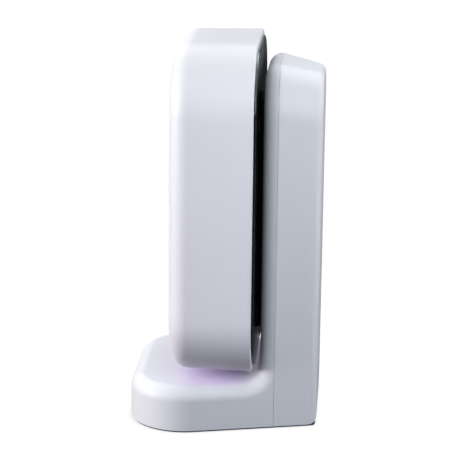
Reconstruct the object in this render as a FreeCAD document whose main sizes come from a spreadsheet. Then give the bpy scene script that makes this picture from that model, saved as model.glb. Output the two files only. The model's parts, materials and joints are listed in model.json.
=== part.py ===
import FreeCAD, Part
import math
import os

import Sketcher
from FreeCAD import Placement, Rotation, Vector

# Desktop occupancy sensor: a rounded white housing with a glossy black back
# cover, held by magnets on the column of an L-shaped stand.
#
# Frame: millimetres, +Z up, the floor is z = 0, the front of the object faces
# -Y, the object is symmetric about x = 0.  The origin is the bottom centre of
# the box round the whole object.

doc = FreeCAD.newDocument("OccupancySensor")
sheet = doc.addObject("Spreadsheet::Sheet", "Dims")
row = [0]


class Q:
    """A size: its value in mm and the expression over the sheet that gives it."""

    def __init__(self, v, e):
        self.v = float(v)
        self.e = e

    @staticmethod
    def of(x):
        if isinstance(x, Q):
            return x
        return Q(x, "(%.6f)" % x)

    def __add__(self, o):
        o = Q.of(o)
        return Q(self.v + o.v, "(%s + %s)" % (self.e, o.e))

    def __radd__(self, o):
        return Q.of(o) + self

    def __sub__(self, o):
        o = Q.of(o)
        return Q(self.v - o.v, "(%s - %s)" % (self.e, o.e))

    def __rsub__(self, o):
        return Q.of(o) - self

    def __mul__(self, o):
        o = Q.of(o)
        return Q(self.v * o.v, "(%s * %s)" % (self.e, o.e))

    def __rmul__(self, o):
        return Q.of(o) * self

    def __truediv__(self, o):
        o = Q.of(o)
        return Q(self.v / o.v, "(%s / %s)" % (self.e, o.e))

    def __neg__(self):
        return Q(-self.v, "(0 - %s)" % self.e)


def size(alias, value, note):
    row[0] += 1
    n = row[0]
    sheet.set("A%d" % n, alias)
    sheet.set("B%d" % n, "%g" % value)
    sheet.set("C%d" % n, note)
    sheet.setAlias("B%d" % n, alias)
    return Q(value, "Dims." + alias)


# ---- driving sizes -------------------------------------------------------
sensor_width = size("sensor_width", 41.2, "housing width across X at its back rim")
sensor_tall = size("sensor_tall", 61.2, "housing height at its back rim")
sensor_corner = size("sensor_corner", 11.9, "housing corner radius seen from the back")
sensor_depth = size("sensor_depth", 15.1, "housing depth from rim to front face")
sensor_draft = size("sensor_draft", 0.24, "how much each side comes in from rim to front")
sensor_round = size("sensor_round", 3.2, "radius round the front face")
sensor_mid = size("sensor_mid", 40.6, "height of the housing centre over the floor")
rim_y = size("rim_y", 5.5, "y of the housing's back rim")
wall = size("wall", 1.6, "housing wall")
rim_width = size("rim_width", 1.1, "width of the white rim round the back cover")
cover_thick = size("cover_thick", 1.6, "depth of the back cover inside the rim")
cover_proud = size("cover_proud", 0.4, "how far the back cover stands out of the rim")
fit_gap = size("fit_gap", 0.12, "gap round the back cover and other set-in pieces")
lens_mid = size("lens_mid", 50.5, "height of the lens centre")
lens_radius = size("lens_radius", 12.0, "visible radius of the lens")
lens_flange = size("lens_flange", 1.5, "lens flange beyond the opening")
board_y = size("board_y", -3.5, "y of the circuit board's front face")
board_thick = size("board_thick", 1.0, "circuit board thickness")
board_width = size("board_width", 34.0, "circuit board width")
board_tall = size("board_tall", 55.0, "circuit board height")
board_corner = size("board_corner", 9.5, "circuit board corner radius")
post_x = size("post_x", 13.2, "housing screw posts, distance from the middle")
post_z = size("post_z", 22.8, "housing screw posts, distance above and below the centre")
post_radius = size("post_radius", 2.3, "housing screw post radius")
pin_radius = size("pin_radius", 1.0, "screw shank radius")
head_radius = size("head_radius", 1.9, "screw head radius")
head_thick = size("head_thick", 1.2, "screw head thickness")
cell_radius = size("cell_radius", 12.25, "coin cell radius")
cell_thick = size("cell_thick", 4.9, "coin cell thickness")
cell_mid = size("cell_mid", 38.4, "height of the coin cell centre")
frame_thick = size("frame_thick", 1.0, "battery frame plate thickness")
cup_wall = size("cup_wall", 1.2, "wall of the ring round the coin cell")
boss_x = size("boss_x", 7.0, "cover screws, distance from the middle")
boss_up = size("boss_up", 56.5, "height of the upper cover screws")
boss_low = size("boss_low", 20.0, "height of the lower cover screws")
boss_radius = size("boss_radius", 2.2, "cover screw boss radius")
magnet_radius = size("magnet_radius", 4.4, "cover magnet radius")
magnet_thick = size("magnet_thick", 2.0, "cover magnet thickness")
foot_front_y = size("foot_front_y", -17.55, "y of the front of the foot")
back_y = size("back_y", 17.55, "y of the back of the column")
foot_half = size("foot_half", 20.9, "half width of the foot at its front")
side_slope = size("side_slope", 0.259, "how much each side comes in for each mm backwards")
side_run = size("side_run", 1.033, "wall offset across x on a sloping side, for each mm of wall")
top_slope = size("top_slope", 0.225, "how much the column top falls for each mm backwards")
foot_corner = size("foot_corner", 10.1, "plan radius of the foot's front corners")
foot_tall = size("foot_tall", 8.5, "height of the foot's top face")
skirt_z = size("skirt_z", 0.35, "gap between the white shell and the floor")
pad_top = size("pad_top", 0.95, "top of the rubber pad")
pad_inset = size("pad_inset", 0.7, "rubber pad's raised part set in from the shell's outline")
pad_lip = size("pad_lip", 0.25, "rubber pad's lower edge set in from the shell's outline")
column_y = size("column_y", 6.9, "y of the column's front face")
seam_y = size("seam_y", 9.6, "y of the seam between the stand's two shells")
seam_gap = size("seam_gap", 0.04, "open width of the seam")
crest_z = size("crest_z", 67.2, "height of the column's crest, at the seam")
column_corner = size("column_corner", 8.2, "radius of the column's top corners")
cove = size("cove", 3.0, "hollow radius between foot and column")
edge_round = size("edge_round", 2.5, "radius along the stand's outer edge")
back_round = size("back_round", 1.5, "radius round the stand's back face")
stand_wall = size("stand_wall", 1.8, "stand wall")
front_wall = size("front_wall", 1.6, "column front wall")
plate_thick = size("plate_thick", 1.2, "base plate thickness")
weight_thick = size("weight_thick", 3.9, "steel weight thickness")
keeper_half = size("keeper_half", 9.6, "half width of the steel keeper plate")
strip_half = size("strip_half", 4.2, "half width of the soft strip between stand and sensor")
strip_low = size("strip_low", 15.6, "bottom of the soft strip")
strip_high = size("strip_high", 61.4, "top of the soft strip")
doc.recompute()

PLANE = {"XY": "XY_Plane", "XZ": "XZ_Plane", "YZ": "YZ_Plane"}
made = []


def origin_plane(body, key):
    for f in body.Origin.OriginFeatures:
        if getattr(f, "Role", "") == PLANE[key]:
            return f
    raise RuntimeError("no plane " + key)


def body(label):
    b = doc.addObject("PartDesign::Body", label)
    b.Label = label
    made.append(b)
    return b


def bind(obj, prop, q):
    obj.setExpression(prop, Q.of(q).e)


def sketch_on(b, name, plane, level, up=None, across=None):
    """A sketch on the body's own plane, moved along the plane's normal so that
    it lies at the wanted z (XY), y (XZ) or x (YZ)."""
    s = b.newObject("Sketcher::SketchObject", name)
    s.AttachmentSupport = [(origin_plane(b, plane), "")]
    s.MapMode = "FlatFace"
    level = Q.of(level)
    if plane == "XZ":
        level = -level
    s.AttachmentOffset = Placement(Vector(0, 0, level.v), Rotation())
    bind(s, "AttachmentOffset.Base.z", level)
    if up is not None:
        bind(s, "AttachmentOffset.Base.y", up)
    if across is not None:
        bind(s, "AttachmentOffset.Base.x", across)
    return s


def fix(s, axis, geo, pos, q, name):
    """Ties one coordinate of a sketch point to a size."""
    q = Q.of(q)
    if abs(q.v) < 1e-9:
        s.addConstraint(Sketcher.Constraint("PointOnObject", geo, pos, -2 if axis == "X" else -1))
        return
    if q.v > 0:
        n = s.addConstraint(Sketcher.Constraint("Distance" + axis, -1, 1, geo, pos, q.v))
        e = q.e
    else:
        n = s.addConstraint(Sketcher.Constraint("Distance" + axis, geo, pos, -1, 1, -q.v))
        e = "(0 - %s)" % q.e
    s.renameConstraint(n, name)
    s.setExpression("Constraints." + name, e)


def outline(s, points, tag="p"):
    """A closed outline, counter-clockwise.  Each point is (x, y) or (x, y, r):
    with a radius the corner is a tangent arc."""
    pts = [(Q.of(p[0]), Q.of(p[1]), Q.of(p[2]) if len(p) > 2 and p[2] is not None else None)
           for p in points]
    n = len(pts)
    ends = []
    arcs = []
    for i in range(n):
        v = Vector(pts[i][0].v, pts[i][1].v, 0)
        a = Vector(pts[i - 1][0].v, pts[i - 1][1].v, 0)
        c = Vector(pts[(i + 1) % n][0].v, pts[(i + 1) % n][1].v, 0)
        r = pts[i][2]
        if r is None:
            ends.append((v, v))
            arcs.append(None)
            continue
        u = (a - v).normalize()
        w = (c - v).normalize()
        half = u.getAngle(w) / 2.0
        run = r.v / math.tan(half)
        t1 = v + u * run
        t2 = v + w * run
        mid = v + (u + w).normalize() * (r.v / math.sin(half))
        left = (v - a).cross(c - v).z > 0
        ends.append((t1, t2))
        arcs.append((mid, left))
    lines = []
    for i in range(n):
        lines.append(s.addGeometry(Part.LineSegment(ends[i][1], ends[(i + 1) % n][0]), False))
    for i in range(n):
        before = lines[i - 1]
        after = lines[i]
        x, y, r = pts[i]
        if r is None:
            s.addConstraint(Sketcher.Constraint("Coincident", before, 2, after, 1))
            fix(s, "X", after, 1, x, "%s%dx" % (tag, i))
            fix(s, "Y", after, 1, y, "%s%dy" % (tag, i))
            continue
        mid, left = arcs[i]
        t1, t2 = ends[i]
        a1 = math.atan2(t1.y - mid.y, t1.x - mid.x)
        a2 = math.atan2(t2.y - mid.y, t2.x - mid.x)
        if left:
            g = s.addGeometry(Part.ArcOfCircle(Part.Circle(mid, Vector(0, 0, 1), r.v), a1, a2), False)
            first, last = 1, 2
        else:
            g = s.addGeometry(Part.ArcOfCircle(Part.Circle(mid, Vector(0, 0, 1), r.v), a2, a1), False)
            first, last = 2, 1
        s.addConstraint(Sketcher.Constraint("Tangent", before, 2, g, first))
        s.addConstraint(Sketcher.Constraint("Tangent", g, last, after, 1))
        k = s.addConstraint(Sketcher.Constraint("Radius", g, r.v))
        nm = "%s%dr" % (tag, i)
        s.renameConstraint(k, nm)
        s.setExpression("Constraints." + nm, r.e)
        p = s.addGeometry(Part.Point(Vector(x.v, y.v, 0)), True)
        s.addConstraint(Sketcher.Constraint("PointOnObject", p, 1, before))
        s.addConstraint(Sketcher.Constraint("PointOnObject", p, 1, after))
        fix(s, "X", p, 1, x, "%s%dx" % (tag, i))
        fix(s, "Y", p, 1, y, "%s%dy" % (tag, i))


def ring(s, x, y, r, tag="c"):
    x, y, r = Q.of(x), Q.of(y), Q.of(r)
    g = s.addGeometry(Part.Circle(Vector(x.v, y.v, 0), Vector(0, 0, 1), r.v), False)
    k = s.addConstraint(Sketcher.Constraint("Radius", g, r.v))
    s.renameConstraint(k, tag + "r")
    s.setExpression("Constraints." + tag + "r", r.e)
    fix(s, "X", g, 3, x, tag + "x")
    fix(s, "Y", g, 3, y, tag + "y")


def rounded(half, low, high, r_low, r_high=None):
    """Corner list of an upright rectangle, symmetric about x = 0."""
    r_high = r_low if r_high is None else r_high
    return [(-half, low, r_low), (half, low, r_low), (half, high, r_high), (-half, high, r_high)]


def pad(b, s, name, length, back=False):
    f = b.newObject("PartDesign::Pad", name)
    f.Profile = s
    f.Length = Q.of(length).v
    bind(f, "Length", length)
    f.Reversed = back
    doc.recompute()
    return f


def pocket(b, s, name, length, back=False):
    before = b.Shape.Volume
    f = b.newObject("PartDesign::Pocket", name)
    f.Profile = s
    f.Length = Q.of(length).v
    bind(f, "Length", length)
    f.Reversed = back
    doc.recompute()
    if not b.Shape.Volume < before - 1e-4:
        raise RuntimeError("%s cuts nothing" % name)
    return f


def loft(b, s1, s2, name, kind="Additive"):
    f = b.newObject("PartDesign::%sLoft" % kind, name)
    f.Profile = s1
    f.Sections = [s2]
    f.Ruled = True
    doc.recompute()
    return f


def rounding(b, name, radius, pick, want=None, kind="Fillet"):
    base = b.Tip
    names = []
    for i, e in enumerate(base.Shape.Edges):
        if pick(e):
            names.append("Edge%d" % (i + 1))
    if not names or (want is not None and len(names) != want):
        raise RuntimeError("%s found %d edges" % (name, len(names)))
    f = b.newObject("PartDesign::" + kind, name)
    f.Base = (base, names)
    prop = "Radius" if kind == "Fillet" else "Size"
    setattr(f, prop, Q.of(radius).v)
    bind(f, prop, radius)
    doc.recompute()
    return f


def mid(e):
    bb = e.BoundBox
    return (bb.XMin + bb.XMax) / 2, (bb.YMin + bb.YMax) / 2, (bb.ZMin + bb.ZMax) / 2


def near(a, b, tol=0.02):
    return abs(a - b) < tol


def along(e, axis, tol=0.02):
    bb = e.BoundBox
    d = {"x": bb.XLength, "y": bb.YLength, "z": bb.ZLength}
    return d[axis] > 0.05 and all(v < tol for k, v in d.items() if k != axis)


# ---- simple solids, used for the small inner pieces ----------------------
def prim(kind, name, x, y, z, rot=None, **sizes):
    o = doc.addObject("Part::" + kind, name)
    x, y, z = Q.of(x), Q.of(y), Q.of(z)
    o.Placement = Placement(Vector(x.v, y.v, z.v), rot or Rotation())
    for k, q in sizes.items():
        setattr(o, k, Q.of(q).v)
        bind(o, k, q)
    bind(o, "Placement.Base.x", x)
    bind(o, "Placement.Base.y", y)
    bind(o, "Placement.Base.z", z)
    return o


FORWARD = Rotation(Vector(1, 0, 0), 90)     # a cylinder's axis points to -Y
BACKWARD = Rotation(Vector(1, 0, 0), -90)   # a cylinder's axis points to +Y


def rod(name, x, y, z, r, length, way="back"):
    rot = {"back": BACKWARD, "front": FORWARD, "up": Rotation()}[way]
    return prim("Cylinder", name, x, y, z, rot, Radius=r, Height=length)


def block(name, x, y, z, lx, ly, lz):
    """A box centred on x and z, starting at y."""
    return prim("Box", name, Q.of(x) - Q.of(lx) / 2, y, Q.of(z) - Q.of(lz) / 2,
                Length=lx, Width=ly, Height=lz)


def fuse(name, parts):
    o = doc.addObject("Part::MultiFuse", name)
    o.Shapes = parts
    return o


def cut(name, a, b):
    o = doc.addObject("Part::Cut", name)
    o.Base = a
    o.Tool = b
    return o


def group(name, parts):
    o = doc.addObject("Part::Compound", name)
    o.Links = parts
    return o


def keep(o, label):
    o.Label = label
    made.append(o)
    return o


front_y = rim_y - sensor_depth
half_w = sensor_width / 2
half_h = sensor_tall / 2
low_z = sensor_mid - half_h
top_z = sensor_mid + half_h
inner_y = front_y + wall                    # inside of the housing's front wall
cover_y = rim_y - cover_thick               # inside face of the back cover
proud_y = rim_y + cover_proud               # outside face of the back cover


# ======================= the sensor's housing =============================
b = body("front_shell")
s1 = sketch_on(b, "shell_rim", "XZ", rim_y)
outline(s1, rounded(half_w, low_z, top_z, sensor_corner))
s2 = sketch_on(b, "shell_face", "XZ", front_y)
outline(s2, rounded(half_w - sensor_draft, low_z + sensor_draft, top_z - sensor_draft,
                    sensor_corner - sensor_draft))
loft(b, s1, s2, "shell_outer")
rounding(b, "shell_face_round", sensor_round,
         lambda e: near(e.BoundBox.YMax, front_y.v) and near(e.BoundBox.YMin, front_y.v), 8)
rounding(b, "shell_rim_round", 0.35,
         lambda e: near(e.BoundBox.YMax, rim_y.v) and near(e.BoundBox.YMin, rim_y.v), 8)
s = sketch_on(b, "shell_hollow", "XZ", rim_y)
outline(s, rounded(half_w - wall, low_z + wall, top_z - wall, sensor_corner - wall))
pocket(b, s, "shell_cavity", sensor_depth - wall, back=True)
rounding(b, "shell_cavity_round", 1.4,
         lambda e: near(e.BoundBox.YMax, inner_y.v) and near(e.BoundBox.YMin, inner_y.v), 8)
s = sketch_on(b, "shell_ledge", "XZ", rim_y)
outline(s, rounded(half_w - rim_width, low_z + rim_width, top_z - rim_width,
                   sensor_corner - rim_width))
pocket(b, s, "shell_rebate", cover_thick, back=True)
s = sketch_on(b, "shell_window", "XZ", inner_y)
ring(s, 0, lens_mid, lens_radius + fit_gap)
pocket(b, s, "shell_opening", wall + 1, back=True)
s = sketch_on(b, "shell_post_plan", "XZ", board_y)
for i, (sx, sz) in enumerate(((1, 1), (-1, 1), (1, -1), (-1, -1))):
    ring(s, post_x * sx, sensor_mid + post_z * sz, post_radius, "c%d" % i)
pad(b, s, "shell_posts", board_y - inner_y)
s = sketch_on(b, "shell_pilot_plan", "XZ", board_y)
for i, (sx, sz) in enumerate(((1, 1), (-1, 1), (1, -1), (-1, -1))):
    ring(s, post_x * sx, sensor_mid + post_z * sz, pin_radius, "c%d" % i)
pocket(b, s, "shell_pilots", 3.6, back=True)

# lens: a thin moulded window, flush in the front, ribbed on its inner side
b = body("lens")
s = sketch_on(b, "lens_section", "YZ", 0, up=lens_mid)
grooves = []
step = lens_radius / 7
outer = front_y
base_y = inner_y + 0.75
outline(s, [(outer, 0), (base_y, 0)]
        + [pt for k in range(6) for pt in ((base_y - 0.35, step * (k + 0.9)), (base_y, step * (k + 1.0)))]
        + [(base_y, lens_radius + lens_flange), (inner_y, lens_radius + lens_flange),
           (inner_y, lens_radius), (outer, lens_radius)])
f = b.newObject("PartDesign::Revolution", "lens_turned")
f.Profile = s
f.ReferenceAxis = (s, ["H_Axis"])
f.Angle = 360
doc.recompute()
rounding(b, "lens_edge", 0.3,
         lambda e: near(e.BoundBox.YMax, front_y.v) and near(e.BoundBox.YMin, front_y.v), 1)

# back cover: glossy plate set into the rim and a little proud of it, with
# sinks for four screws
b = body("back_cover")
s = sketch_on(b, "cover_plan", "XZ", proud_y)
inset = rim_width + fit_gap
outline(s, rounded(half_w - inset, low_z + inset, top_z - inset, sensor_corner - inset))
pad(b, s, "cover_plate", cover_thick + cover_proud)
rounding(b, "cover_edge", 0.25,
         lambda e: near(e.BoundBox.YMax, proud_y.v) and near(e.BoundBox.YMin, proud_y.v), 8)
spots = ((1, boss_up), (-1, boss_up), (1, boss_low), (-1, boss_low))
s = sketch_on(b, "cover_sink_plan", "XZ", proud_y)
for i, (sx, z) in enumerate(spots):
    ring(s, boss_x * sx, z, head_radius + 0.25, "c%d" % i)
pocket(b, s, "cover_sinks", 0.9, back=True)
s = sketch_on(b, "cover_hole_plan", "XZ", proud_y)
for i, (sx, z) in enumerate(spots):
    ring(s, boss_x * sx, z, pin_radius + 0.15, "c%d" % i)
pocket(b, s, "cover_holes", cover_thick + cover_proud + 0.1, back=True)
s = sketch_on(b, "cover_magnet_plan", "XZ", cover_y)
ring(s, 0, boss_up, magnet_radius + 0.9, "a")
ring(s, 0, boss_up, magnet_radius + 0.1, "b")
ring(s, 0, boss_low, magnet_radius + 0.9, "c")
ring(s, 0, boss_low, magnet_radius + 0.1, "d")
pad(b, s, "cover_magnet_rings", 1.2)
s = sketch_on(b, "cover_clear_plan", "XZ", cover_y)
for i, (sx, z) in enumerate(spots):
    ring(s, boss_x * sx, z, boss_radius + 0.15, "c%d" % i)
pocket(b, s, "cover_boss_clearance", 1.3, back=True)

# main board
b = body("main_board")
s = sketch_on(b, "board_plan", "XZ", board_y + board_thick)
outline(s, rounded(board_width / 2, sensor_mid - board_tall / 2, sensor_mid + board_tall / 2, board_corner))
pad(b, s, "board_plate", board_thick)
s = sketch_on(b, "board_hole_plan", "XZ", board_y + board_thick)
for i, (sx, sz) in enumerate(((1, 1), (-1, 1), (1, -1), (-1, -1))):
    ring(s, post_x * sx, sensor_mid + post_z * sz, pin_radius + 0.15, "c%d" % i)
pocket(b, s, "board_holes", board_thick + 1, back=True)

# battery frame: plate behind the board, ring round the cell, cover screw bosses
frame_y = board_y + board_thick
plate_back = frame_y + frame_thick
b = body("battery_frame")
s = sketch_on(b, "frame_plan", "XZ", frame_y)
outline(s, rounded(board_width / 2, sensor_mid - board_tall / 2, sensor_mid + board_tall / 2, board_corner))
pad(b, s, "frame_plate", frame_thick, back=True)
s = sketch_on(b, "frame_cup_plan", "XZ", plate_back)
ring(s, 0, cell_mid, cell_radius + 0.2 + cup_wall, "a")
ring(s, 0, cell_mid, cell_radius + 0.2, "b")
pad(b, s, "frame_cup", 3.4, back=True)
s = sketch_on(b, "frame_boss_plan", "XZ", plate_back)
for i, (sx, z) in enumerate(spots):
    ring(s, boss_x * sx, z, boss_radius, "c%d" % i)
pad(b, s, "frame_bosses", cover_y - plate_back, back=True)
s = sketch_on(b, "frame_pilot_plan", "XZ", cover_y)
for i, (sx, z) in enumerate(spots):
    ring(s, boss_x * sx, z, pin_radius, "c%d" % i)
pocket(b, s, "frame_pilots", 4.2, back=True)
s = sketch_on(b, "frame_hole_plan", "XZ", plate_back)
for i, (sx, sz) in enumerate(((1, 1), (-1, 1), (1, -1), (-1, -1))):
    ring(s, post_x * sx, sensor_mid + post_z * sz, pin_radius + 0.15, "c%d" % i)
pocket(b, s, "frame_holes", frame_thick + 0.5, back=True)
s = sketch_on(b, "frame_window_plan", "XZ", plate_back)
outline(s, [(-3.5, cell_mid - 5), (3.5, cell_mid - 5), (3.5, cell_mid + 5), (-3.5, cell_mid + 5)])
pocket(b, s, "frame_window", frame_thick + 0.5, back=True)
s = sketch_on(b, "frame_notch_plan", "XZ", plate_back + 3.5)
outline(s, [(-3.2, cell_mid + 9), (3.2, cell_mid + 9), (3.2, cell_mid + cell_radius + 2.6),
            (-3.2, cell_mid + cell_radius + 2.6)])
pocket(b, s, "frame_notch", frame_thick + 4.5, back=True)

# coin cell: sealed can with its crimped smaller face towards the board
b = body("coin_cell")
s = sketch_on(b, "cell_section", "YZ", 0, up=cell_mid)
c0 = plate_back
c1 = plate_back + cell_thick
outline(s, [(c0, 0), (c1, 0), (c1, cell_radius, 0.5), (c0 + 0.9, cell_radius, 0.4),
            (c0 + 0.6, cell_radius - 0.9), (c0 + 0.6, cell_radius - 1.7), (c0, cell_radius - 2.2)])
f = b.newObject("PartDesign::Revolution", "cell_turned")
f.Profile = s
f.ReferenceAxis = (s, ["H_Axis"])
f.Angle = 360
doc.recompute()

# spring contacts for the cell
p1 = block("neg_base", 0, frame_y, cell_mid, 5.4, 0.25, 8.4)
p2 = block("neg_step", 0, frame_y + 0.25, cell_mid - 3.2, 3.6, 0.35, 1.2)
p3 = block("neg_blade", 0, frame_y + 0.6, cell_mid - 0.6, 3.6, 0.2, 6.4)
p4 = block("neg_tip", 0, frame_y + 0.8, cell_mid + 1.8, 3.6, 0.2, 1.2)
keep(fuse("battery_negative_contact", [p1, p2, p3, p4]), "battery_negative_contact")
clip_z = cell_mid + cell_radius
p1 = prim("Box", "pos_foot", -2.6, frame_y, clip_z + 0.6, Length=5.2, Width=0.3, Height=2.0)
p2 = prim("Box", "pos_riser", -2.6, frame_y, clip_z + 0.6, Length=5.2, Width=4.6, Height=0.3)
p3 = prim("Box", "pos_hook", -2.6, frame_y + 4.3, clip_z, Length=5.2, Width=0.3, Height=0.9)
p4 = prim("Box", "pos_tongue", -1.6, frame_y + 2.4, clip_z, Length=3.2, Width=2.0, Height=0.3)
keep(fuse("battery_positive_clip", [p1, p2, p3, p4]), "battery_positive_clip")

# heat-sensing detector: flanged can with a window, and the ring that seats it
can = fuse("pir_can_body", [rod("pir_flange", 0, board_y, lens_mid, 4.6, 0.5, "front"),
                            rod("pir_can", 0, board_y, lens_mid, 4.1, 3.2, "front")])
keep(cut("pir_detector", can, block("pir_window", 0, board_y - 3.3, lens_mid, 4.0, 0.35, 3.0)), "pir_detector")
seat = cut("pir_seat_bored", rod("pir_seat_blank", 0, board_y, lens_mid, 6.0, 2.5, "front"),
           rod("pir_seat_bore", 0, board_y + 0.1, lens_mid, 4.12, 3.4, "front"))
keep(cut("pir_seat_ring", seat, rod("pir_seat_step", 0, board_y + 0.1, lens_mid, 4.7, 0.7, "front")),
     "pir_seat_ring")

# parts on the board's front face
face = board_y
m1 = block("radio_plate", 0, face - 0.8, 27.5, 16.0, 0.8, 13.0)
m2 = block("radio_can", 0, face - 2.4, 26.6, 14.6, 1.6, 10.4)
keep(fuse("radio_module", [m1, m2]), "radio_module")
keep(block("antenna", 0, face - 1.1, 15.8, 9.0, 1.1, 2.0), "antenna")
keep(block("controller_chip", -9.2, face - 0.9, 38.4, 6.0, 0.9, 6.0), "controller_chip")
keep(block("crystal_can", -11.4, face - 0.75, 32.0, 3.2, 0.75, 2.5), "crystal_can")
keep(group("capacitors", [block("cap%d" % i, x, face - 0.8, z, 1.6, 0.8, 0.9)
                          for i, (x, z) in enumerate(((8.5, 38.6), (8.5, 36.6), (12.0, 38.6), (12.0, 36.6),
                                                      (-13.6, 36.5), (-13.6, 39.5)))]), "capacitors")
th = fuse("thermistor_body", [block("th_body", 11.8, face - 0.9, 30.0, 1.3, 0.9, 2.2),
                              block("th_cap_up", 11.8, face - 1.0, 31.2, 1.4, 1.0, 0.5),
                              block("th_cap_low", 11.8, face - 1.0, 28.8, 1.4, 1.0, 0.5)])
keep(th, "thermistor")


def screws(name, spots, head_y, shank, way="front", head=None):
    """Pan-head screws along Y or Z with a cross recess, as separate solids."""
    out = []
    hr = head or head_radius
    for i, (x, z) in enumerate(spots):
        n = "%s_%d" % (name, i)
        hd = rod(n + "_head", x, head_y, z, hr, head_thick, "back")
        sh = rod(n + "_shank", x, head_y + 0.05, z, pin_radius - 0.02, shank + 0.05, "front")
        k1 = block(n + "_slot_a", x, head_y + head_thick - 0.6, z, 2.2, 0.7, 0.45)
        k2 = block(n + "_slot_b", x, head_y + head_thick - 0.6, z, 0.45, 0.7, 2.2)
        out.append(cut(n, fuse(n + "_blank", [hd, sh]), fuse(n + "_cross", [k1, k2])))
    return keep(group(name, out), name)


screws("frame_screws", [(post_x * sx, sensor_mid + post_z * sz)
                        for sx, sz in ((1, 1), (-1, 1), (1, -1), (-1, -1))], plate_back, 4.9)
cover_heads = []
for i, (sx, z) in enumerate(spots):
    n = "cover_screw_%d" % i
    hd = rod(n + "_head", boss_x * sx, proud_y - 0.9, z, head_radius, 0.85, "back")
    sh = rod(n + "_shank", boss_x * sx, proud_y - 0.85, z, pin_radius - 0.02, 4.6, "front")
    k1 = block(n + "_slot_a", boss_x * sx, proud_y - 0.55, z, 2.2, 0.7, 0.45)
    k2 = block(n + "_slot_b", boss_x * sx, proud_y - 0.55, z, 0.45, 0.7, 2.2)
    cover_heads.append(cut(n, fuse(n + "_blank", [hd, sh]), fuse(n + "_cross", [k1, k2])))
keep(group("back_cover_screws", cover_heads), "back_cover_screws")
keep(group("cover_magnets", [rod("magnet_up", 0, cover_y, boss_up, magnet_radius, magnet_thick, "front"),
                             rod("magnet_low", 0, cover_y, boss_low, magnet_radius, magnet_thick, "front")]),
     "cover_magnets")


# ============================ the stand ===================================
def half_at(y):
    return foot_half - (y - foot_front_y) * side_slope


def stand_block(b, tag):
    """The outer form of both shells together: foot, column and roundings."""
    s = sketch_on(b, tag + "_foot_plan", "XY", skirt_z)
    outline(s, [(-foot_half, foot_front_y, foot_corner), (foot_half, foot_front_y, foot_corner),
                (half_at(back_y), back_y), (-half_at(back_y), back_y)])
    pad(b, s, tag + "_foot", foot_tall - skirt_z)
    s1 = sketch_on(b, tag + "_column_back", "XZ", back_y)
    top_back = crest_z - (back_y - seam_y) * top_slope
    top_front = crest_z + (seam_y - column_y) * top_slope
    outline(s1, rounded(half_at(back_y), 3.0, top_back, None, column_corner))
    s2 = sketch_on(b, tag + "_column_front", "XZ", column_y)
    outline(s2, rounded(half_at(column_y), 3.0, top_front, None, column_corner))
    loft(b, s1, s2, tag + "_column")
    rounding(b, tag + "_cove", cove,
             lambda e: along(e, "x") and near(mid(e)[1], column_y.v) and near(mid(e)[2], foot_tall.v), 1)

    def rim(e):
        x, y, z = mid(e)
        bb = e.BoundBox
        if near(bb.ZMin, foot_tall.v) and near(bb.ZMax, foot_tall.v) and bb.YMax < column_y.v - cove.v + 0.02:
            return not (along(e, "x") and near(y, column_y.v - cove.v))
        if near(bb.YMin, column_y.v) and near(bb.YMax, column_y.v) and bb.ZMin > foot_tall.v + cove.v - 0.02:
            return not (along(e, "x") and near(z, foot_tall.v + cove.v))
        return (abs(x) > 12 and near(bb.ZMin, foot_tall.v) and near(bb.ZMax, foot_tall.v + cove.v)
                and near(bb.YMax, column_y.v) and near(bb.YMin, column_y.v - cove.v))

    rounding(b, tag + "_edge", edge_round, rim, 12)
    rounding(b, tag + "_back_edge", back_round,
             lambda e: near(e.BoundBox.YMin, back_y.v) and near(e.BoundBox.YMax, back_y.v))


big = 60.0
b = body("stand_front")
stand_block(b, "front")
s = sketch_on(b, "front_split_plan", "XZ", seam_y)
outline(s, [(-big, -5), (big, -5), (big, 90), (-big, 90)])
pocket(b, s, "front_split", 30)
s = sketch_on(b, "front_column_hollow", "XZ", seam_y)
col_in = half_at(seam_y) - stand_wall
outline(s, rounded(col_in, 11.0, crest_z - stand_wall, None, column_corner - stand_wall))
pocket(b, s, "front_column_cavity", seam_y - column_y - front_wall, back=True)
foot_in_back = column_y + 0.8
s = sketch_on(b, "front_foot_hollow", "XY", skirt_z)


def plan(inset, back, corner):
    """Foot outline set in by a wall, ending at a given y at the back."""
    front = foot_front_y + inset
    hf = foot_half - inset * (side_run + side_slope)
    hb = half_at(back) - inset * side_run
    return [(-hf, front, corner), (hf, front, corner), (hb, back), (-hb, back)]


outline(s, plan(stand_wall, foot_in_back, foot_corner - stand_wall))
pocket(b, s, "front_foot_cavity", foot_tall - stand_wall - skirt_z, back=True)
s = sketch_on(b, "front_pad_plan", "XY", skirt_z)
outline(s, plan(pad_inset, seam_y + 1, foot_corner - pad_inset))
pocket(b, s, "front_pad_rebate", pad_top - skirt_z, back=True)
base_spots = ((10.4, -8.8), (-10.4, -8.8), (0, 4.0))
plate_top = pad_top + plate_thick
s = sketch_on(b, "front_boss_plan", "XY", plate_top)
for i, (x, y) in enumerate(base_spots):
    ring(s, x, y, 2.7, "c%d" % i)
pad(b, s, "front_bosses", foot_tall - stand_wall - plate_top)
s = sketch_on(b, "front_boss_pilots", "XY", plate_top)
for i, (x, y) in enumerate(base_spots):
    ring(s, x, y, 1.0, "c%d" % i)
pocket(b, s, "front_boss_holes", 3.8, back=True)

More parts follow.
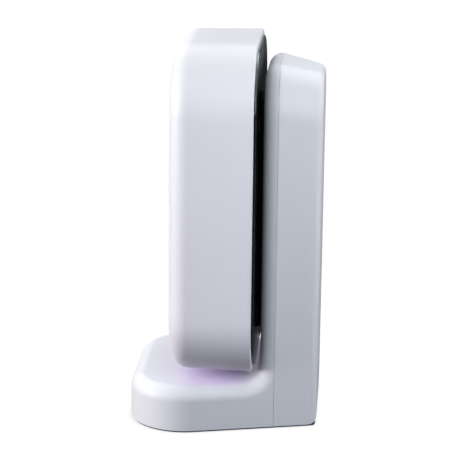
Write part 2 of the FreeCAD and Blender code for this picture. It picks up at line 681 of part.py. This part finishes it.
b = body("stand_rear_cover")
stand_block(b, "rear")
s = sketch_on(b, "rear_split_plan", "XZ", seam_y + seam_gap)
outline(s, [(-big, -5), (big, -5), (big, 90), (-big, 90)])
pocket(b, s, "rear_split", 40, back=True)
in_back = back_y - stand_wall
s1 = sketch_on(b, "rear_hollow_front", "XZ", seam_y + seam_gap)
rear_in = half_at(seam_y) - stand_wall - 0.8
outline(s1, rounded(rear_in, 2.8, crest_z - stand_wall - 0.8, None, column_corner - stand_wall - 0.8))
s2 = sketch_on(b, "rear_hollow_back", "XZ", in_back)
outline(s2, rounded(half_at(in_back) - stand_wall, 2.8,
                    crest_z - (in_back - seam_y) * top_slope - stand_wall, None,
                    column_corner - stand_wall - 0.8))
loft(b, s1, s2, "rear_cavity", "Subtractive")
s = sketch_on(b, "rear_lip_plan", "XZ", seam_y + seam_gap)
outline(s, rounded(rear_in + 0.6, 11.2, crest_z - stand_wall - 0.2, None, column_corner - stand_wall - 0.2), "p")
outline(s, rounded(rear_in, 11.8, crest_z - stand_wall - 0.8, None, column_corner - stand_wall - 0.8), "q")
pad(b, s, "rear_lip", seam_y + seam_gap - column_y - front_wall)
s = sketch_on(b, "rear_pad_plan", "XY", skirt_z)
pad_end = back_y - pad_inset
outline(s, [(-half_at(seam_y - 1) + pad_inset * side_run, seam_y - 1),
            (half_at(seam_y - 1) - pad_inset * side_run, seam_y - 1),
            (half_at(pad_end) - pad_inset * side_run, pad_end), (-half_at(pad_end) + pad_inset * side_run, pad_end)])
pocket(b, s, "rear_pad_rebate", pad_top - skirt_z, back=True)

# base plate, closes the foot from below
b = body("base_plate")
s = sketch_on(b, "plate_plan", "XY", pad_top)
outline(s, plan(stand_wall + 0.1, foot_in_back - 0.1, foot_corner - stand_wall - 0.1))
pad(b, s, "plate_blank", plate_thick)
s = sketch_on(b, "plate_hole_plan", "XY", pad_top)
for i, (x, y) in enumerate(base_spots):
    ring(s, x, y, 1.2, "c%d" % i)
pocket(b, s, "plate_holes", plate_thick + 1, back=True)
rounding(b, "plate_sinks", 0.9,
         lambda e: near(e.BoundBox.ZMin, pad_top.v) and near(e.BoundBox.ZMax, pad_top.v)
         and near(e.BoundBox.XLength, 2.4), 3, "Chamfer")

# steel weight inside the foot
b = body("foot_weight")
s = sketch_on(b, "weight_plan", "XY", plate_top)
outline(s, plan(stand_wall + 1.0, foot_in_back - 1.0, foot_corner - stand_wall - 1.0))
pad(b, s, "weight_blank", weight_thick)
s = sketch_on(b, "weight_hole_plan", "XY", plate_top)
for i, (x, y) in enumerate(base_spots):
    ring(s, x, y, 3.1, "c%d" % i)
pocket(b, s, "weight_holes", weight_thick + 1, back=True)

# rubber pad under the stand, the face that stands on the table
b = body("foot_pad")
s = sketch_on(b, "pad_plan", "XY", 0.0)
gap = pad_inset + 0.08
outline(s, [(-(foot_half - gap * (side_run + side_slope)), foot_front_y + gap, foot_corner - gap),
            (foot_half - gap * (side_run + side_slope), foot_front_y + gap, foot_corner - gap),
            (half_at(back_y - gap) - gap * side_run, back_y - gap, 1.0),
            (-(half_at(back_y - gap) - gap * side_run), back_y - gap, 1.0)])
pad(b, s, "pad_blank", pad_top)
s = sketch_on(b, "pad_lip_plan", "XY", 0.0)
outline(s, [(-(foot_half - pad_lip * (side_run + side_slope)), foot_front_y + pad_lip, foot_corner - pad_lip),
            (foot_half - pad_lip * (side_run + side_slope), foot_front_y + pad_lip, foot_corner - pad_lip),
            (half_at(back_y - pad_lip) - pad_lip * side_run, back_y - pad_lip, 1.2),
            (-(half_at(back_y - pad_lip) - pad_lip * side_run), back_y - pad_lip, 1.2)])
pad(b, s, "pad_lip_blank", skirt_z)
rounding(b, "pad_edge", 0.06, lambda e: near(e.BoundBox.ZMin, 0) and near(e.BoundBox.ZMax, 0))

# countersunk screws of the base plate
heads = []
for i, (x, y) in enumerate(base_spots):
    n = "base_screw_%d" % i
    cone = prim("Cone", n + "_head", x, y, pad_top, Radius1=2.1, Radius2=1.2, Height=0.9)
    shank = prim("Cylinder", n + "_shank", x, y, pad_top + 0.85, Radius=0.98, Height=3.9)
    k1 = prim("Box", n + "_slot_a", Q.of(x) - 1.1, Q.of(y) - 0.22, pad_top - 0.1, Length=2.2, Width=0.44, Height=0.65)
    k2 = prim("Box", n + "_slot_b", Q.of(x) - 0.22, Q.of(y) - 1.1, pad_top - 0.1, Length=0.44, Width=2.2, Height=0.65)
    heads.append(cut(n, fuse(n + "_blank", [cone, shank]), fuse(n + "_cross", [k1, k2])))
keep(group("base_screws", heads), "base_screws")

# steel keeper plate behind the column's front wall
b = body("keeper_plate")
s = sketch_on(b, "keeper_plan", "XZ", column_y + front_wall)
outline(s, rounded(keeper_half, 15.0, 62.0, 2.0))
pad(b, s, "keeper_blank", 1.0, back=True)

# soft strip on the column, against the back cover, over both magnets
b = body("mount_strip")
s = sketch_on(b, "strip_plan", "XZ", column_y)
outline(s, rounded(strip_half, strip_low, strip_high, strip_half - 0.2))
pad(b, s, "strip_blank", column_y - proud_y)
rounding(b, "strip_edge", 0.25,
         lambda e: near(e.BoundBox.YMin, proud_y.v) and near(e.BoundBox.YMax, proud_y.v), 8)

doc.recompute()

bad = []
for o in doc.Objects:
    if "Invalid" in o.State or "Error" in o.State:
        bad.append(o.Name + " " + ",".join(o.State))
for o in made:
    shape = o.Shape
    if shape.isNull() or not shape.isValid() or not shape.Solids:
        bad.append("shape of " + o.Label)
if bad:
    raise RuntimeError("failed: " + "; ".join(bad))

os.makedirs("parts", exist_ok=True)
for o in made:
    o.Shape.exportStep("parts/%s.step" % o.Label)
    bb = o.Shape.optimalBoundingBox(True, False)
    print("%-26s solids %d  vol %8.1f  x %.2f..%.2f  y %.2f..%.2f  z %.2f..%.2f" % (
        o.Label, len(o.Shape.Solids), o.Shape.Volume, bb.XMin, bb.XMax, bb.YMin, bb.YMax, bb.ZMin, bb.ZMax))
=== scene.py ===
import json
import math

import bpy
from mathutils import Matrix, Vector

# Desktop occupancy sensor on its L-shaped stand: looks, light and camera.
# Metres, +Z up, the floor is z = 0, the front of the object faces -Y.

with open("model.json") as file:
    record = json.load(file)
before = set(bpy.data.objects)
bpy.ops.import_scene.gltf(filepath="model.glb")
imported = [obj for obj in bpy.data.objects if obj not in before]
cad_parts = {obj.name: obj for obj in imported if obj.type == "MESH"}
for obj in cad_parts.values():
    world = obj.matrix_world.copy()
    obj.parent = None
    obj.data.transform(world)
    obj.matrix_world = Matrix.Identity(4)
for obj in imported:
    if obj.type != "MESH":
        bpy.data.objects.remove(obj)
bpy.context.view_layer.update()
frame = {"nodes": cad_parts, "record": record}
nodes = frame["nodes"]

MM = 0.001


# ------------------------------------------------------------ node helpers --
class Tree:
    """A material with a Principled shader and short ways to add nodes.
    Lengths inside are in millimetres, in the frame of the object."""

    def __init__(self, name):
        self.mat = bpy.data.materials.new(name)
        self.mat.use_nodes = True
        self.nt = self.mat.node_tree
        self.nt.nodes.clear()
        self.out = self.nt.nodes.new("ShaderNodeOutputMaterial")
        self.bsdf = self.nt.nodes.new("ShaderNodeBsdfPrincipled")
        self.nt.links.new(self.bsdf.outputs["BSDF"], self.out.inputs["Surface"])
        tc = self.nt.nodes.new("ShaderNodeTexCoord")
        sc = self.nt.nodes.new("ShaderNodeVectorMath")
        sc.operation = "SCALE"
        sc.inputs["Scale"].default_value = 1000.0
        self.nt.links.new(tc.outputs["Object"], sc.inputs[0])
        self.mm = sc.outputs[0]

    def link(self, a, b):
        self.nt.links.new(a, b)

    def put(self, socket, value):
        if isinstance(value, bpy.types.NodeSocket):
            self.link(value, socket)
        else:
            socket.default_value = value

    def noise(self, size, detail=2.0, rough=0.5, stretch=(1, 1, 1), distort=0.0, shift=(0, 0, 0)):
        """Smooth noise, 0 to 1, whose features are about size mm wide."""
        v = self.mm
        if stretch != (1, 1, 1) or shift != (0, 0, 0):
            m = self.nt.nodes.new("ShaderNodeMapping")
            m.inputs["Scale"].default_value = stretch
            m.inputs["Location"].default_value = shift
            self.link(v, m.inputs["Vector"])
            v = m.outputs["Vector"]
        n = self.nt.nodes.new("ShaderNodeTexNoise")
        n.inputs["Scale"].default_value = 1.0 / size
        n.inputs["Detail"].default_value = detail
        n.inputs["Roughness"].default_value = rough
        n.inputs["Distortion"].default_value = distort
        self.link(v, n.inputs["Vector"])
        return n.outputs["Fac"]

    def cells(self, size, feature="F1", out="Distance", random=1.0):
        n = self.nt.nodes.new("ShaderNodeTexVoronoi")
        n.feature = feature
        n.inputs["Scale"].default_value = 1.0 / size
        n.inputs["Randomness"].default_value = random
        self.link(self.mm, n.inputs["Vector"])
        return n.outputs[out]

    def math(self, op, a, b=0.0, c=0.0, clamp=False):
        n = self.nt.nodes.new("ShaderNodeMath")
        n.operation = op
        n.use_clamp = clamp
        self.put(n.inputs[0], a)
        self.put(n.inputs[1], b)
        if len(n.inputs) > 2:
            self.put(n.inputs[2], c)
        return n.outputs[0]

    def xyz(self):
        n = self.nt.nodes.new("ShaderNodeSeparateXYZ")
        self.link(self.mm, n.inputs[0])
        return n.outputs[0], n.outputs[1], n.outputs[2]

    def spread(self, v, lo, hi, to_lo=0.0, to_hi=1.0, kind="LINEAR"):
        n = self.nt.nodes.new("ShaderNodeMapRange")
        n.interpolation_type = kind
        n.inputs["From Min"].default_value = lo
        n.inputs["From Max"].default_value = hi
        n.inputs["To Min"].default_value = to_lo
        n.inputs["To Max"].default_value = to_hi
        self.link(v, n.inputs["Value"])
        return n.outputs["Result"]

    def mix(self, fac, a, b, blend="MIX"):
        n = self.nt.nodes.new("ShaderNodeMix")
        n.data_type = "RGBA"
        n.blend_type = blend
        self.put(n.inputs[0], fac)
        self.put(n.inputs[6], tuple(a) + (1.0,) if isinstance(a, tuple) and len(a) == 3 else a)
        self.put(n.inputs[7], tuple(b) + (1.0,) if isinstance(b, tuple) and len(b) == 3 else b)
        return n.outputs[2]

    def bump(self, height, depth, below=None):
        """depth in mm is how high a height of 1 stands."""
        n = self.nt.nodes.new("ShaderNodeBump")
        n.inputs["Strength"].default_value = 1.0
        n.inputs["Distance"].default_value = depth * MM
        self.link(height, n.inputs["Height"])
        if below is not None:
            self.link(below, n.inputs["Normal"])
        return n.outputs["Normal"]

    def set(self, **sockets):
        for k, v in sockets.items():
            name = k.replace("_", " ")
            for s in self.bsdf.inputs:
                if s.name.lower() == name.lower():
                    if isinstance(v, tuple) and len(v) == 3 and s.type == "RGBA":
                        v = v + (1.0,)
                    self.put(s, v)
                    break
            else:
                raise RuntimeError("no socket " + name)
        return self


def moulded(name, low, high, rough, grain=0.35, grain_depth=0.0016, wave=5.0, wave_depth=0.004,
            rough_vary=0.06, **sockets):
    """Moulded plastic: clouded tone, fine spark grain, very slight waviness."""
    t = Tree(name)
    cloud = t.noise(11.0, 3.0, 0.55)
    t.set(Base_Color=t.mix(t.spread(cloud, 0.32, 0.68), low, high))
    smear = t.noise(3.2, 3.0, 0.6)
    t.set(Roughness=t.spread(smear, 0.25, 0.75, rough - rough_vary, rough + rough_vary))
    n = t.bump(t.noise(wave, 1.0, 0.4, shift=(3.1, 7.7, 1.3)), wave_depth)
    n = t.bump(t.noise(grain, 2.0, 0.6), grain_depth, n)
    t.set(Normal=n, **sockets)
    return t


def metal(name, low, high, rough, scratch=(1, 1, 1), **sockets):
    """Plated or rolled metal with fine directional lines and small stains."""
    t = Tree(name)
    stain = t.noise(2.4, 4.0, 0.6)
    t.set(Base_Color=t.mix(t.spread(stain, 0.35, 0.7), low, high), Metallic=1.0)
    lines = t.noise(0.35, 2.0, 0.6, stretch=scratch)
    t.set(Roughness=t.spread(lines, 0.3, 0.7, rough * 0.75, rough * 1.3))
    t.set(Normal=t.bump(lines, 0.0012), **sockets)
    return t


# --------------------------------------------------------------- materials --
mats = {}

# housing: satin white, a trace of lilac
mats["shell_white"] = moulded("shell_white", (0.796, 0.788, 0.848), (0.808, 0.801, 0.860), 0.47,
                              Specular_IOR_Level=0.5).mat
# stand: same family, a trace cooler; a lilac painted shade is mixed into the colour
# where ambient occlusion finds the foot shut in under the housing
t = Tree("stand_white")
x, y, z = t.xyz()
cloud = t.noise(11.0, 3.0, 0.55)
plain = t.mix(t.spread(cloud, 0.32, 0.68), (0.760, 0.768, 0.822), (0.774, 0.781, 0.834))
# painted shade: ambient occlusion on the foot top under the housing mixes a lilac shade colour into the base
# colour
ao = t.nt.nodes.new("ShaderNodeAmbientOcclusion")
ao.samples = 12
ao.inputs["Distance"].default_value = 0.012
occlusion_shade = t.spread(ao.outputs["AO"], 0.20, 0.75, 1.0, 0.0, "SMOOTHSTEP")
painted_shade_zone = t.math("MULTIPLY", t.spread(z, 9.5, 12.5, 1.0, 0.0, "SMOOTHSTEP"),
                 t.spread(z, 7.2, 8.3, 0.0, 1.0, "SMOOTHSTEP"))
painted_shade_zone = t.math("MULTIPLY", painted_shade_zone, t.spread(y, 1.5, 5.0, 1.0, 0.0, "SMOOTHSTEP"))
painted_shade_tint = t.math("MULTIPLY", occlusion_shade, painted_shade_zone)
t.set(Base_Color=t.mix(painted_shade_tint, plain, (0.86, 0.765, 0.97)),
      Roughness=t.spread(t.noise(3.2, 3.0, 0.6), 0.25, 0.75, 0.44, 0.56),
      Specular_IOR_Level=0.5,
      Normal=t.bump(t.noise(0.35, 2.0, 0.6), 0.0016,
                    t.bump(t.noise(5.0, 1.0, 0.4, shift=(3.1, 7.7, 1.3)), 0.004)))
mats["stand_white"] = t.mat

# lens: milky sheet; the rings moulded into its inner side show through faintly
t = Tree("lens_milk")
x, y, z = t.xyz()
r = t.math("SQRT", t.math("ADD", t.math("MULTIPLY", x, x),
                          t.math("POWER", t.math("SUBTRACT", z, 50.5), 2.0)))
saw = t.math("FRACT", t.math("DIVIDE", r, 12.0 / 7.0))
step = t.spread(saw, 0.80, 0.93, 0.0, 1.0, "SMOOTHSTEP")
cloud = t.noise(6.0, 2.0)
tone = t.math("ADD", t.math("MULTIPLY", step, 0.55), t.math("MULTIPLY", cloud, 0.35))
t.set(Base_Color=t.mix(tone, (0.800, 0.806, 0.815), (0.735, 0.745, 0.762)),
      Roughness=t.spread(t.noise(1.5, 3.0), 0.25, 0.75, 0.42, 0.54),
      Subsurface_Weight=0.25, Subsurface_Scale=0.002, Subsurface_Radius=(1.0, 0.9, 0.8),
      Normal=t.bump(t.noise(0.4, 2.0), 0.0015, t.bump(step, 0.006)))
mats["lens_milk"] = t.mat

# back cover: high-gloss black, faint moulding flow marks; near its top a pale grey-green painted reflection in
# marbled streaks
t = Tree("cover_black")
flow = t.noise(4.5, 2.0, 0.5, stretch=(1, 1, 0.6), distort=0.4)
fine = t.noise(1.1, 2.0, 0.5)
x, y, z = t.xyz()
# painted reflection: pale grey-green streaks mixed into the colour over the top of the cover, where its gloss
# would mirror the bright surroundings
reflection_streaks = t.spread(t.noise(2.6, 4.0, 0.6, stretch=(1, 1, 0.6), distort=0.6), 0.30, 0.70, 0.55, 1.0, "SMOOTHSTEP")
pale = t.math("MULTIPLY", t.spread(z, 62.5, 69.5, 0.0, 1.0, "SMOOTHSTEP"), reflection_streaks)
dark = t.mix(t.spread(flow, 0.3, 0.7), (0.0085, 0.0105, 0.0125), (0.013, 0.0155, 0.018))
t.set(Base_Color=t.mix(pale, dark, (0.260, 0.290, 0.278)),
      Roughness=t.spread(t.noise(2.6, 4.0, 0.65), 0.35, 0.75, 0.07, 0.16),
      Normal=t.bump(fine, 0.0008, t.bump(flow, 0.010)))
mats["cover_black"] = t.mat

# battery frame and inner holder: plain black plastic
mats["frame_black"] = moulded("frame_black", (0.016, 0.016, 0.018), (0.024, 0.024, 0.026), 0.52,
                              grain=0.3, grain_depth=0.004).mat
mats["plate_grey"] = moulded("plate_grey", (0.28, 0.285, 0.29), (0.32, 0.325, 0.33), 0.50,
                             grain=0.3, grain_depth=0.004).mat

# circuit board: solder mask over faint copper runs, glass weave under it
t = Tree("board_green")
x, y, z = t.xyz()
runs = t.cells(2.6, "DISTANCE_TO_EDGE")
lane = t.spread(runs, 0.03, 0.07, 1.0, 0.0, "SMOOTHSTEP")
weave = t.math("MULTIPLY", t.math("SINE", t.math("MULTIPLY", x, 9.0)),
               t.math("SINE", t.math("MULTIPLY", z, 9.0)))
base = t.mix(lane, (0.010, 0.062, 0.026), (0.030, 0.120, 0.045))
t.set(Base_Color=t.mix(t.spread(weave, -1, 1, 0.0, 0.25), base, (0.020, 0.085, 0.035)),
      Roughness=t.spread(t.noise(2.0, 3.0), 0.3, 0.7, 0.26, 0.40),
      Normal=t.bump(weave, 0.002, t.bump(lane, 0.02)))
mats["board_green"] = t.mat

# moulded chips
t = Tree("chip_black")
t.set(Base_Color=t.mix(t.noise(0.25, 3.0, 0.7), (0.012, 0.012, 0.013), (0.034, 0.034, 0.036)),
      Roughness=t.spread(t.noise(0.8, 3.0), 0.3, 0.7, 0.5, 0.66),
      Normal=t.bump(t.noise(0.12, 2.0, 0.6), 0.006))
mats["chip_black"] = t.mat

# ceramic antenna
t = Tree("antenna_ceramic")
t.set(Base_Color=t.mix(t.noise(0.6, 4.0, 0.6), (0.42, 0.46, 0.47), (0.52, 0.56, 0.57)),
      Roughness=t.spread(t.noise(1.0, 2.0), 0.3, 0.7, 0.38, 0.52),
      Normal=t.bump(t.noise(0.2, 3.0), 0.003))
mats["antenna_ceramic"] = t.mat

mats["can_steel"] = metal("can_steel", (0.58, 0.58, 0.57), (0.66, 0.66, 0.65), 0.28, (1, 1, 0.15)).mat
mats["cell_steel"] = metal("cell_steel", (0.60, 0.60, 0.60), (0.70, 0.70, 0.70), 0.24, (0.2, 1, 1)).mat
mats["contact_steel"] = metal("contact_steel", (0.62, 0.60, 0.55), (0.70, 0.68, 0.63), 0.26, (1, 1, 0.2)).mat
mats["screw_steel"] = metal("screw_steel", (0.50, 0.50, 0.51), (0.62, 0.62, 0.63), 0.30).mat
mats["magnet_nickel"] = metal("magnet_nickel", (0.62, 0.61, 0.58), (0.72, 0.71, 0.68), 0.16).mat
mats["weight_steel"] = metal("weight_steel", (0.36, 0.35, 0.34), (0.46, 0.45, 0.44), 0.42, (0.15, 1, 1)).mat
mats["keeper_steel"] = metal("keeper_steel", (0.50, 0.50, 0.49), (0.58, 0.58, 0.57), 0.34, (1, 1, 0.15)).mat

# foot pad: dark rubber, dusty grain
t = Tree("pad_rubber")
t.set(Base_Color=t.mix(t.noise(0.5, 4.0, 0.7), (0.030, 0.062, 0.125), (0.044, 0.085, 0.160)),
      Roughness=t.spread(t.noise(1.2, 3.0), 0.3, 0.7, 0.66, 0.84),
      Normal=t.bump(t.noise(0.25, 3.0, 0.6), 0.02))
mats["pad_rubber"] = t.mat

# soft strip between stand and cover
t = Tree("strip_rubber")
t.set(Base_Color=t.mix(t.noise(0.6, 4.0, 0.7), (0.020, 0.020, 0.024), (0.036, 0.036, 0.040)),
      Roughness=t.spread(t.noise(1.0, 3.0), 0.3, 0.7, 0.70, 0.88),
      Normal=t.bump(t.noise(0.2, 3.0, 0.6), 0.02))
mats["strip_rubber"] = t.mat

SLOT_OF = {}
for m in frame["record"].get("materials", []):
    for n in m.get("nodes", []) or []:
        SLOT_OF[n] = m.get("slot")
for name, ob in nodes.items():
    slot = SLOT_OF.get(name) or (ob.data.materials[0].name.split(".")[0] if ob.data.materials else None)
    mat = mats.get(slot)
    if mat is None:
        raise RuntimeError("no finish for %s (%s)" % (name, slot))
    if ob.data.materials:
        ob.data.materials[0] = mat
    else:
        ob.data.materials.append(mat)
    for p in ob.data.polygons:
        p.use_smooth = True


# ------------------------------------------------------------------- floor --
def floor_material():
    """Plain pale floor: white to the camera with a faint contact shade."""
    m = bpy.data.materials.new("floor_pale")
    m.use_nodes = True
    nt = m.node_tree
    nt.nodes.clear()
    out = nt.nodes.new("ShaderNodeOutputMaterial")
    path = nt.nodes.new("ShaderNodeLightPath")
    shade = nt.nodes.new("ShaderNodeMixShader")
    glow = nt.nodes.new("ShaderNodeEmission")
    ao = nt.nodes.new("ShaderNodeAmbientOcclusion")
    ao.samples = 8
    ao.inputs["Distance"].default_value = 0.0012
    ramp = nt.nodes.new("ShaderNodeMapRange")
    ramp.inputs["From Min"].default_value = 0.45
    ramp.inputs["From Max"].default_value = 0.95
    ramp.inputs["To Min"].default_value = 0.86
    ramp.inputs["To Max"].default_value = 1.02
    nt.links.new(ao.outputs["AO"], ramp.inputs["Value"])
    nt.links.new(ramp.outputs["Result"], glow.inputs["Strength"])
    diff = nt.nodes.new("ShaderNodeBsdfDiffuse")
    diff.inputs["Color"].default_value = (0.02, 0.02, 0.02, 1.0)
    nt.links.new(path.outputs["Is Camera Ray"], shade.inputs["Fac"])
    nt.links.new(diff.outputs["BSDF"], shade.inputs[1])
    nt.links.new(glow.outputs["Emission"], shade.inputs[2])
    nt.links.new(shade.outputs["Shader"], out.inputs["Surface"])
    return m


bpy.ops.mesh.primitive_circle_add(vertices=96, radius=6.0, fill_type="NGON", location=(0, 0, 0))
floor = bpy.context.object
floor.name = "floor"
floor.data.materials.append(floor_material())

# ------------------------------------------------------------------- world --
world = bpy.data.worlds.new("studio")
bpy.context.scene.world = world
world.use_nodes = True
wt = world.node_tree
wt.nodes.clear()
w_out = wt.nodes.new("ShaderNodeOutputWorld")
w_mix = wt.nodes.new("ShaderNodeMixShader")
w_path = wt.nodes.new("ShaderNodeLightPath")
w_see = wt.nodes.new("ShaderNodeBackground")
w_see.inputs["Color"].default_value = (1, 1, 1, 1)
w_see.inputs["Strength"].default_value = 1.02
w_lit = wt.nodes.new("ShaderNodeBackground")
w_lit.name = "room"
w_lit.inputs["Color"].default_value = (0.92, 0.95, 1.0, 1)
w_lit.inputs["Strength"].default_value = 0.0
wt.links.new(w_path.outputs["Is Camera Ray"], w_mix.inputs["Fac"])
wt.links.new(w_lit.outputs[0], w_mix.inputs[1])
wt.links.new(w_see.outputs[0], w_mix.inputs[2])
wt.links.new(w_mix.outputs[0], w_out.inputs["Surface"])

# ------------------------------------------------------------------ lights --
TARGET = Vector((0.0, 0.0, 0.036))


def softbox(name, azimuth, elevation, distance, size, watts, colour=(1, 1, 1)):
    """Azimuth 0 stands in front of the object (at -Y), 90 at +X."""
    a, e = math.radians(azimuth), math.radians(elevation)
    back = Vector((math.sin(a) * math.cos(e), -math.cos(a) * math.cos(e), math.sin(e)))
    data = bpy.data.lights.new(name, "AREA")
    data.shape = "SQUARE"
    data.size = size
    data.energy = watts
    data.color = colour
    ob = bpy.data.objects.new(name, data)
    ob.location = TARGET + back * distance
    ob.rotation_mode = "QUATERNION"
    ob.rotation_quaternion = (-back).to_track_quat("-Z", "Y")
    ob.visible_camera = False
    bpy.context.scene.collection.objects.link(ob)
    return ob


# name, azimuth, elevation, distance, size, then red, green and blue watts
for n, az, el, far, wide, *rgb in (
        ("back_left", -120, 50, 0.50, 0.35, 1.430, 1.480, 1.560),
        ("left", -60, 35, 0.50, 0.35, 0.850, 0.865, 0.895),
        ("near_side", 108, 40, 0.20, 0.15, 0.048, 0.046, 0.040),
        ("near_back", 122, 22, 0.20, 0.12, 0.178, 0.195, 0.226),
        ("back_right", 150, 30, 0.14, 0.10, 0.025, 0.022, 0.012),
        ("near_front", 15, 30, 0.20, 0.12, 0.098, 0.113, 0.092),
        ("front_low", 16, 6, 0.50, 0.26, 2.860, 2.690, 2.800),
        ("behind", 180, 12, 0.50, 0.20, 0.420, 0.425, 0.445)):
    top = max(rgb)
    softbox(n, az, el, far, wide, top, tuple(v / top for v in rgb))


# ------------------------------------------------------------------ camera --
def camera(azimuth, elevation, roll, distance, focal_px, aim):
    """Azimuth from +X towards +Y; the picture is 460 pixels wide."""
    a, e, r = (math.radians(v) for v in (azimuth, elevation, roll))
    d = Vector((math.cos(e) * math.cos(a), math.cos(e) * math.sin(a), math.sin(e)))
    w = -d
    u = w.cross(Vector((0, 0, 1))).normalized()
    v = u.cross(w)
    right = u * math.cos(r) + v * math.sin(r)
    up = -u * math.sin(r) + v * math.cos(r)
    data = bpy.data.cameras.new("camera")
    data.sensor_fit = "HORIZONTAL"
    data.sensor_width = 36.0
    data.lens = focal_px / 460.0 * 36.0
    data.clip_start, data.clip_end = 0.01, 30.0
    ob = bpy.data.objects.new("camera", data)
    place = Vector(aim) + d * distance
    ob.matrix_world = Matrix((
        (right.x, up.x, d.x, place.x),
        (right.y, up.y, d.y, place.y),
        (right.z, up.z, d.z, place.z),
        (0, 0, 0, 1)))
    bpy.context.scene.collection.objects.link(ob)
    bpy.context.scene.camera = ob
    return ob


camera(3.90, 14.88, 0.63, 0.345, 1826.0, (0.0, 0.23 * MM, 34.24 * MM))

bpy.context.scene.view_settings.view_transform = "Standard"
bpy.context.scene.view_settings.look = "None"
bpy.context.scene.view_settings.exposure = 0.0
bpy.context.scene.view_settings.gamma = 1.0
